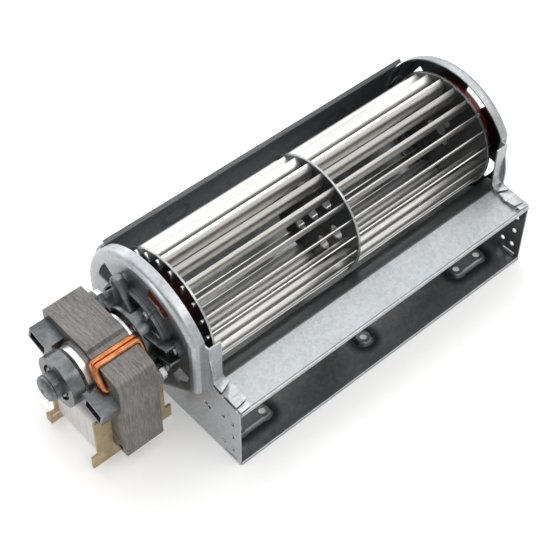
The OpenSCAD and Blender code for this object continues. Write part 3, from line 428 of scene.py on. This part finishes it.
def turned_metal(name, colour, rough=0.22):
    """Turned or plated metal with fine rings round X and light handling marks."""
    f = Finish(name, metallic=1.0)
    rings = f.noise(3000.0, detail=2.0, rough=0.6, where=f.stretched(1.0, 0.2, 0.2))
    marks = f.noise(300.0, detail=4.0, rough=0.65)
    f.put("Base Color", f.mix(marks.ramp(0.3, 0.75), toned(colour, 0.82), toned(colour, 1.12)))
    f.put("Roughness", rings * 0.1 + marks * 0.12 + rough)
    return f.bump(rings * 0.6 + marks * 0.4, 0.12, 0.06).material


def moulded(name, dark, light, rough, sheen=0.0):
    """Moulded plastic, rubber or fibre: soft clouds of colour and a fine skin texture."""
    f = Finish(name)
    clouds = f.noise(130.0, detail=4.0, rough=0.6)
    skin = f.noise(1900.0, detail=3.0, rough=0.6)
    f.put("Base Color", f.mix((clouds * 0.8 + skin * 0.2).ramp(0.3, 0.7), dark, light))
    f.put("Roughness", clouds * 0.14 + skin * 0.1 + rough)
    f.put("Sheen Weight", sheen)
    return f.bump(skin, 0.18, 0.08).material


def wound_tape(name):
    """Wrapped coil: pale polyester tape over its turns, with soft overlaps and a faint pink tint."""
    f = Finish(name)
    drift = f.noise(70.0) * (1.6 * MM)
    turns = ((f.y + drift) * (math.tau / (TAPE_PITCH * MM))).wave()
    overlap = turns.ramp(0.86, 1.0)
    stain = f.noise(120.0, detail=4.0, rough=0.6)
    body = f.mix(stain.ramp(0.3, 0.75), (0.74, 0.70, 0.68), (0.84, 0.82, 0.80))
    f.put("Base Color", f.mix(overlap * 0.35, body, (0.55, 0.47, 0.43)))
    f.put("Roughness", stain * 0.16 + 0.36)
    return f.bump(turns * 0.5 + stain * 0.3, 0.2, 0.12).material


FINISHES = {
    "galvanised_steel": zinc_sheet("zinc_sheet", ZINC, 0.30),
    # The darker sheets take a darker copy of the zinc, as painted shade
    "dark_galvanised": zinc_sheet("zinc_sheet_shaded", SHADED_ZINC, 0.26),
    "blade_aluminium": rolled_aluminium("rolled_aluminium"),
    "silicone_red": moulded("red_silicone", (0.16, 0.012, 0.01), (0.30, 0.03, 0.02), 0.42),
    "turned_steel": turned_metal("turned_steel", (0.66, 0.66, 0.66)),
    "plated_steel": turned_metal("plated_steel", (0.80, 0.80, 0.79), 0.18),
    "laminations": stacked_sheets("stacked_laminations"),
    "bobbin_nylon": moulded("glass_filled_nylon", (0.40, 0.29, 0.14), (0.62, 0.50, 0.30), 0.40),
    "coil_tape": wound_tape("coil_tape"),
    "copper_wire": copper_wire("copper_wire"),
    "cast_zinc": die_casting("cast_zinc", (0.085, 0.092, 0.097), (0.235, 0.252, 0.262)),
    "sintered_bronze": turned_metal("sintered_bronze", (0.55, 0.40, 0.20), 0.34),
    "cast_aluminium": turned_metal("cast_aluminium", (0.80, 0.81, 0.82), 0.24),
    "felt": moulded("oiled_felt", (0.50, 0.44, 0.32), (0.66, 0.60, 0.48), 0.7, sheen=0.4),
    "fibre": moulded("pressed_fibre", (0.36, 0.29, 0.18), (0.50, 0.42, 0.29), 0.6),
    "tinned_brass": turned_metal("tinned_brass", (0.82, 0.79, 0.70), 0.2),
}

# Nodes whose finish differs from the rest of their slot, each by its own painted shade
# The discs take a slightly darker copy of the zinc with painted shade on their faces
DISC_PAINTED_SHADE_FINISH = zinc_sheet("zinc_sheet_painted_disc_shade", DISC_ZINC, 0.24, disc_painted_shade)
OWN_FINISHES = {
    "motor_side_plate": zinc_sheet("zinc_sheet_painted_dish_shade", ZINC, 0.28, dish_painted_shade),
    "bearing_side_plate": zinc_sheet("zinc_sheet_painted_far_dish_shade", ZINC, 0.28, far_dish_painted_shade),
    "outlet_top_sheet": zinc_sheet("zinc_sheet_painted_tongue_shade", ZINC, 0.30, tongue_painted_shade),
    "scroll_sheet": zinc_sheet("zinc_sheet_painted_scroll_shade", SCROLL_ZINC, 0.26, scroll_painted_shade),
    "impeller_motor_disc": DISC_PAINTED_SHADE_FINISH,
    "impeller_middle_disc": DISC_PAINTED_SHADE_FINISH,
    "impeller_bearing_disc": DISC_PAINTED_SHADE_FINISH,
}


def dress_frame():
    """Each node of the frame takes its own finish, or else the finish of its slot."""
    slots = {part["node"]: part["material_slot"] for part in frame["record"]["subparts"]}
    for name, node in frame["nodes"].items():
        material = OWN_FINISHES.get(name) or FINISHES[slots[name]]
        for slot in node.material_slots:
            slot.material = material


dress_frame()


# Pieces that the frame leaves to the scene

# How far from level the inner bracket's horns and ribs are turned, in degrees
HORN_TURN = 71.0
RIB_TURN = 161.0

# Blades: how many, where the first one stands, and the circle that their bow follows
BLADES = 22
FIRST_BLADE = 6.0
BOW_RADIUS = 7.4
BOW_MIDDLE = (25.0, -7.4)

# A crushed tab: half its width at each angle of the bow, how deep it sits in the disc, how far it
# stands past the blade's own tab, and how round its edges are
TAB_WIDTHS = ((72.0, 0.28), (66.0, 0.42), (60.0, 0.58), (53.0, 0.74), (46.0, 0.84), (40.0, 0.78),
              (35.0, 0.48))
TAB_SUNK = 0.15
TAB_PAST = 0.1
TAB_ROUND = 0.12

# The duct's top: how it rises from its front edge, in degrees, and its height there
TOP_RISE = 5.481
TOP_FRONT_Z = -12.42

# Crimped tabs: four (x, y, lift) corners over the duct's top, and how far the middle bulges, and
# the thickness of their sheet
CRIMPED_TABS = (
    (((-8.3, -40.8, 1.5), (-2.4, -39.8, 1.3), (-1.6, -44.3, 1.9), (-8.3, -46.6, 1.2)), 0.5),
    (((-8.3, -47.9, 0.7), (-2.0, -45.4, 1.4), (-0.9, -50.8, 0.9), (-8.3, -51.6, 1.5)), 0.4),
    (((-8.3, -51.3, 1.2), (-1.4, -50.3, 0.8), (-1.8, -56.0, 1.6), (-8.3, -56.5, 0.8)), 0.4),
    (((-8.3, -57.6, 0.7), (-2.3, -56.9, 1.3), (-2.6, -59.0, 0.9), (-8.3, -59.6, 0.6)), 0.3),
)
TAB_SHEET = 0.7

# How far a rolled edge stops short of the sheet's ends
ROLL_INSET = 0.4

# Vertices closer than this are one
WELD_GAP = 0.001


def finished(work, name, slot, body, smooth=35.0, finish=None):
    """Turns a bmesh into a piece: faces outwards, and smooth where edges bend less than smooth degrees."""
    bmesh.ops.remove_doubles(work, verts=work.verts, dist=WELD_GAP * MM)
    bmesh.ops.recalc_face_normals(work, faces=work.faces)
    for face in work.faces:
        face.smooth = True
    limit = math.radians(smooth)
    for edge in work.edges:
        if len(edge.link_faces) == 2 and edge.calc_face_angle(0.0) > limit:
            edge.smooth = False
    mesh = mesh_of(work, name)
    mesh.materials.append(finish or FINISHES[slot])
    piece = add_object(name, mesh)
    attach(piece, body)


def turned_piece(name, start, profile, slot, body, steps=64):
    """Spins a profile of (x past the start, radius) points round the fan's axis into a closed piece."""
    work = bmesh.new()
    points = [work.verts.new(fan(start + x, radius, 0.0)) for x, radius in profile]
    for first, second in zip(points, points[1:]):
        work.edges.new((first, second))
    bmesh.ops.spin(work, geom=work.verts[:] + work.edges[:], cent=fan(0, 0, 0), axis=(1, 0, 0),
                   angle=math.tau, steps=steps, use_merge=True)
    finished(work, name, slot, body)


def add_prism(work, outline, x0, x1, bevel, turn):
    """Adds a plate with an outline of (y, z) points, from x0 to x1, with rounded edges."""
    corners = [work.verts.new(fan(x0, y, z)) for y, z in outline]
    face = work.faces.new(corners)
    lifted = new_verts(bmesh.ops.extrude_face_region(work, geom=[face]))
    bmesh.ops.translate(work, verts=lifted, vec=((x1 - x0) * MM, 0.0, 0.0))
    edges = {edge for vert in corners + lifted for edge in vert.link_edges}
    result = bmesh.ops.bevel(work, geom=list(edges), offset=bevel * MM, segments=3, profile=0.5,
                             affect="EDGES", material=-1)
    rounded = {vert for face in result["faces"] for vert in face.verts}
    bmesh.ops.rotate(work, verts=list(rounded), cent=fan(0, 0, 0),
                     matrix=Matrix.Rotation(math.radians(turn), 3, "X"))


def make_boss_cap():
    """The closed, rounded cap pressed over the outer bearing's boss, with its centre mark."""
    boss_face = fan_box("outer_bracket")[0].x
    profile = ((0.0, 0.0), (0.0, 6.2), (-0.4, 6.45), (-1.6, 6.35), (-2.5, 5.7), (-3.0, 4.6),
               (-3.25, 3.0), (-3.35, 1.4), (-3.3, 1.05), (-3.0, 0.8), (-2.95, 0.0))
    turned_piece("boss_cap", boss_face, profile, "cast_zinc", "housing")


def make_inner_cup():
    """The inner bracket's wide cup round its bearing, open towards the stack."""
    bearing_face = fan_box("inner_bearing")[0].x
    profile = ((4.0, 13.3), (4.0, 15.3), (2.8, 15.0), (-3.0, 14.8), (-3.5, 14.6), (-3.7, 14.2),
               (-3.6, 13.7), (-3.2, 13.4), (3.4, 13.3), (4.0, 13.3))
    turned_piece("inner_bearing_cup", bearing_face, profile, "cast_zinc", "housing")


def make_rotor_ring():
    """The rotor's bright end ring where it stands out of the stack."""
    cage_end = fan_box("rotor_cage")[1].x
    profile = ((0.2, 10.6), (0.2, 13.0), (0.4, 13.2), (1.7, 13.2), (2.1, 12.9), (2.2, 10.8), (0.2, 10.6))
    turned_piece("rotor_end_ring", cage_end, profile, "cast_aluminium", "impeller", 96)


def make_bracket_arms():
    """Webs, horns, roots and ribs of the inner bracket, as outlines of (y, z) points cast round its arms."""
    work = bmesh.new()
    root_back = fan_box("inner_bracket")[1].x - 3.2
    root_front = root_back - 2.6
    web_front = root_front - 2.2
    horn_front = root_back - 5.4
    rib_front = root_back - 6.2
    web = ((16.4, -2.0), (24.6, 0.4), (25.6, 3.2), (13.4, 18.6), (8.2, 24.0), (4.6, 21.0), (8.4, 13.0),
           (13.6, 6.0))
    root = ((13.6, -6.6), (19.0, -6.4), (22.6, -3.9), (24.4, -3.3), (24.4, 3.3), (22.6, 3.9),
            (19.0, 6.4), (13.6, 6.6))
    horn = ((13.8, -6.0), (20.0, -4.6), (26.0, -3.3), (30.4, -2.6), (31.4, -0.6), (30.6, 2.2),
            (26.0, 3.4), (20.0, 5.2), (13.8, 6.4))
    rib = ((13.8, 4.0), (23.0, 3.0), (30.4, 3.3), (30.4, 4.6), (23.0, 4.6), (13.8, 6.0))
    far_rib = [(y, -z) for y, z in rib[::-1]]
    for side in (0.0, 180.0):
        add_prism(work, web, web_front, root_front, 0.5, side)
        add_prism(work, horn, horn_front, root_back, 1.1, side + HORN_TURN)
        add_prism(work, root, root_front, root_back, 0.5, side + RIB_TURN)
        add_prism(work, rib, rib_front, root_back, 0.45, side + RIB_TURN)
        add_prism(work, far_rib, rib_front, root_back, 0.45, side + RIB_TURN)
    finished(work, "inner_bracket_arms", "cast_zinc", "housing")


def make_tab_ends(name, disc, blades, end):
    """The crushed ends of the blades' tabs, crescents that lock the blades to their disc."""
    outwards = (-1.0, 1.0)[end]
    root = fan_box(disc)[end].x - outwards * TAB_SUNK
    tip = fan_box(blades)[end].x + outwards * TAB_PAST
    inner = [(BOW_RADIUS - half, math.radians(angle)) for angle, half in TAB_WIDTHS]
    outer = [(BOW_RADIUS + half, math.radians(angle)) for angle, half in TAB_WIDTHS]
    middle_y, middle_z = BOW_MIDDLE
    crescent = [(middle_y + radius * math.cos(angle), middle_z + radius * math.sin(angle))
                for radius, angle in inner + outer[::-1]]
    work = bmesh.new()
    for blade in range(BLADES):
        add_prism(work, crescent, root, tip, TAB_ROUND, 360.0 / BLADES * blade + FIRST_BLADE)
    finished(work, name, "blade_aluminium", "impeller", smooth=50.0)


def bent_tab(work, corners, crown, mirror):
    """A crimped tab: a small plate between its corners over the duct's top, with a bulged middle."""
    grid = bmesh.ops.create_grid(work, x_segments=8, y_segments=8, size=0.5)["verts"]
    slope = math.tan(math.radians(TOP_RISE))
    front = fan_box("motor_side_plate")[0].y
    left, right = (corner.x for corner in fan_box("outlet_top_sheet"))
    near_left, near_right, far_right, far_left = (Vector(corner) for corner in corners)
    for vert in grid:
        u = vert.co.x + 0.5
        v = vert.co.y + 0.5
        spot = near_left.lerp(near_right, u).lerp(far_left.lerp(far_right, u), v)
        bulge = crown * math.sin(math.pi * u) * math.sin(math.pi * v)
        x = left + right - spot.x if mirror else spot.x
        vert.co = fan(x, spot.y, TOP_FRONT_Z + (spot.y - front) * slope + spot.z + bulge)
    plate = list({face for vert in grid for face in vert.link_faces})
    bmesh.ops.recalc_face_normals(work, faces=plate)
    bmesh.ops.solidify(work, geom=plate, thickness=TAB_SHEET * MM)


def make_crimped_tabs():
    """The side plates' flange tabs, hammered down over the duct's top sheet."""
    # The tabs take a paler copy of the zinc, a painted highlight
    tab_highlight = zinc_sheet("zinc_sheet_painted_tab_highlight", TAB_HIGHLIGHT_ZINC, 0.24)
    for mirror, name in ((False, "crimped_tabs_motor_end"), (True, "crimped_tabs_bearing_end")):
        work = bmesh.new()
        for corners, crown in CRIMPED_TABS:
            bent_tab(work, corners, crown, mirror)
        finished(work, name, "galvanised_steel", "housing", smooth=50.0, finish=tab_highlight)


def add_edge_roll(name, y, z, radius, slot):
    """A round bar along X that stands for a sheet's rolled edge."""
    left, right = (corner.x for corner in fan_box("outlet_top_sheet"))
    length = right - left - 2.0 * ROLL_INSET
    work = bmesh.new()
    ring = bmesh.ops.create_circle(work, cap_ends=True, radius=radius * MM, segments=20)["verts"]
    bmesh.ops.rotate(work, verts=ring, cent=(0, 0, 0), matrix=Matrix.Rotation(math.pi / 2, 3, "Y"))
    bmesh.ops.translate(work, verts=ring, vec=fan(left + ROLL_INSET, y, z))
    end = new_verts(bmesh.ops.extrude_face_region(work, geom=work.faces[:]))
    bmesh.ops.translate(work, verts=end, vec=(length * MM, 0.0, 0.0))
    finished(work, name, slot, "housing")


def make_edge_rolls():
    """The rolled edges of the top sheet and the floor, along the duct's mouth."""
    mouth = fan_box("motor_side_plate")[0].y
    floor = fan_box("scroll_sheet")[0].z
    add_edge_roll("top_sheet_roll", mouth - 0.05, TOP_FRONT_Z - 0.83, 0.9, "galvanised_steel")
    add_edge_roll("floor_roll", mouth - 0.1, floor + 0.75, 0.72, "dark_galvanised")


make_boss_cap()
make_inner_cup()
make_rotor_ring()
make_bracket_arms()
make_tab_ends("tab_ends_motor_disc", "impeller_motor_disc", "blades_motor_section", 0)
make_tab_ends("tab_ends_bearing_disc", "impeller_bearing_disc", "blades_bearing_section", 1)
make_crimped_tabs()
make_edge_rolls()


# Light and floor, in metres and watts

WORLD_LIGHT = 0.12
WORLD_COLOUR = (0.92, 0.95, 1.0, 1.0)
WHITE = (1.0, 1.0, 1.0)
WARM = (1.0, 0.975, 0.94)
FLOOR_HALF = 4.0
FLOOR_GAP = 0.0002
FLOOR_GLOW = 0.3
WALL_RADIUS = 3.9
WALL_HEIGHT = 2.4
WALL_GLOW = 0.9
STRIP_X = 0.50
STRIP_Z = 1.25
STRIP_WIDTH = 2.5

# Overhead strips: where each hangs along Y, its depth and its power
OVERHEAD_STRIPS = {
    "overhead_front": (-0.22, 0.56, 7.4),
    "overhead_middle": (0.62, 0.86, 11.4),
    "overhead_back": (1.50, 0.60, 7.9),
}


def soft_box(name, place, target, size, power, colour=WHITE):
    """A flat rectangular lamp at a place, turned towards its target."""
    data = bpy.data.lights.new(name, "AREA")
    data.shape = "RECTANGLE"
    data.size, data.size_y = size
    data.energy = power
    data.color = colour
    lamp = add_object(name, data)
    lamp.location = place
    lamp.rotation_euler = (Vector(target) - Vector(place)).to_track_quat("-Z", "Y").to_euler()


def make_floor():
    """A plain pale floor, just under the part."""
    work = bmesh.new()
    bmesh.ops.create_grid(work, x_segments=2, y_segments=2, size=FLOOR_HALF)
    mesh = mesh_of(work, "floor")
    f = Finish("pale_floor", roughness=0.6)
    f.put("Base Color", f.mix(f.noise(3.0, detail=2.0), (0.90, 0.90, 0.90), (0.92, 0.92, 0.92)))
    f.put("Emission Color", WHITE)
    f.put("Emission Strength", FLOOR_GLOW)
    mesh.materials.append(f.material)
    floor = add_object("floor", mesh)
    floor.location = (0.0, 0.0, cad_low[2] - FLOOR_GAP)


def make_backdrop():
    """A pale wall round the floor, which the views and the metal see and which lights nothing."""
    work = bmesh.new()
    bmesh.ops.create_circle(work, radius=WALL_RADIUS, segments=96)
    top = new_verts(bmesh.ops.extrude_edge_only(work, edges=work.edges[:]))
    bmesh.ops.translate(work, verts=top, vec=(0.0, 0.0, WALL_HEIGHT))
    mesh = mesh_of(work, "backdrop")
    f = Finish("pale_wall", roughness=1.0)
    path = f.node("ShaderNodeLightPath")
    camera, glossy, through = (Signal(f, path.outputs[name]) for name in
                               ("Is Camera Ray", "Is Glossy Ray", "Is Transmission Ray"))
    f.put("Base Color", (0.0, 0.0, 0.0))
    f.put("Emission Color", (0.97, 0.985, 1.0))
    f.put("Emission Strength", (camera + glossy + through).smallest(1.0) * WALL_GLOW)
    mesh.materials.append(f.material)
    add_object("backdrop", mesh)


def make_light():
    """Three wide strips overhead, a strip behind and one at the left, and a warm fill in front."""
    scene = bpy.context.scene
    scene.view_settings.view_transform = "Standard"
    scene.world = bpy.data.worlds.new("studio")
    scene.world.use_nodes = True
    background = scene.world.node_tree.nodes["Background"]
    background.inputs[0].default_value = WORLD_COLOUR
    background.inputs[1].default_value = WORLD_LIGHT
    for name, (y, depth, power) in OVERHEAD_STRIPS.items():
        soft_box(name, (STRIP_X, y, STRIP_Z), (STRIP_X, y, 0.0), (STRIP_WIDTH, depth), power)
    middle = (0.0, 0.0, 0.04)
    soft_box("back_strip", (0.10, 1.30, 0.45), middle, (1.2, 0.25), 3.0)
    soft_box("left_strip", (-1.15, 0.25, 0.50), middle, (0.3, 0.6), 2.0)
    soft_box("front_fill", (0.35, -1.0, 1.35), middle, (1.7, 0.36), 9.0, WARM)


make_floor()
make_backdrop()
make_light()
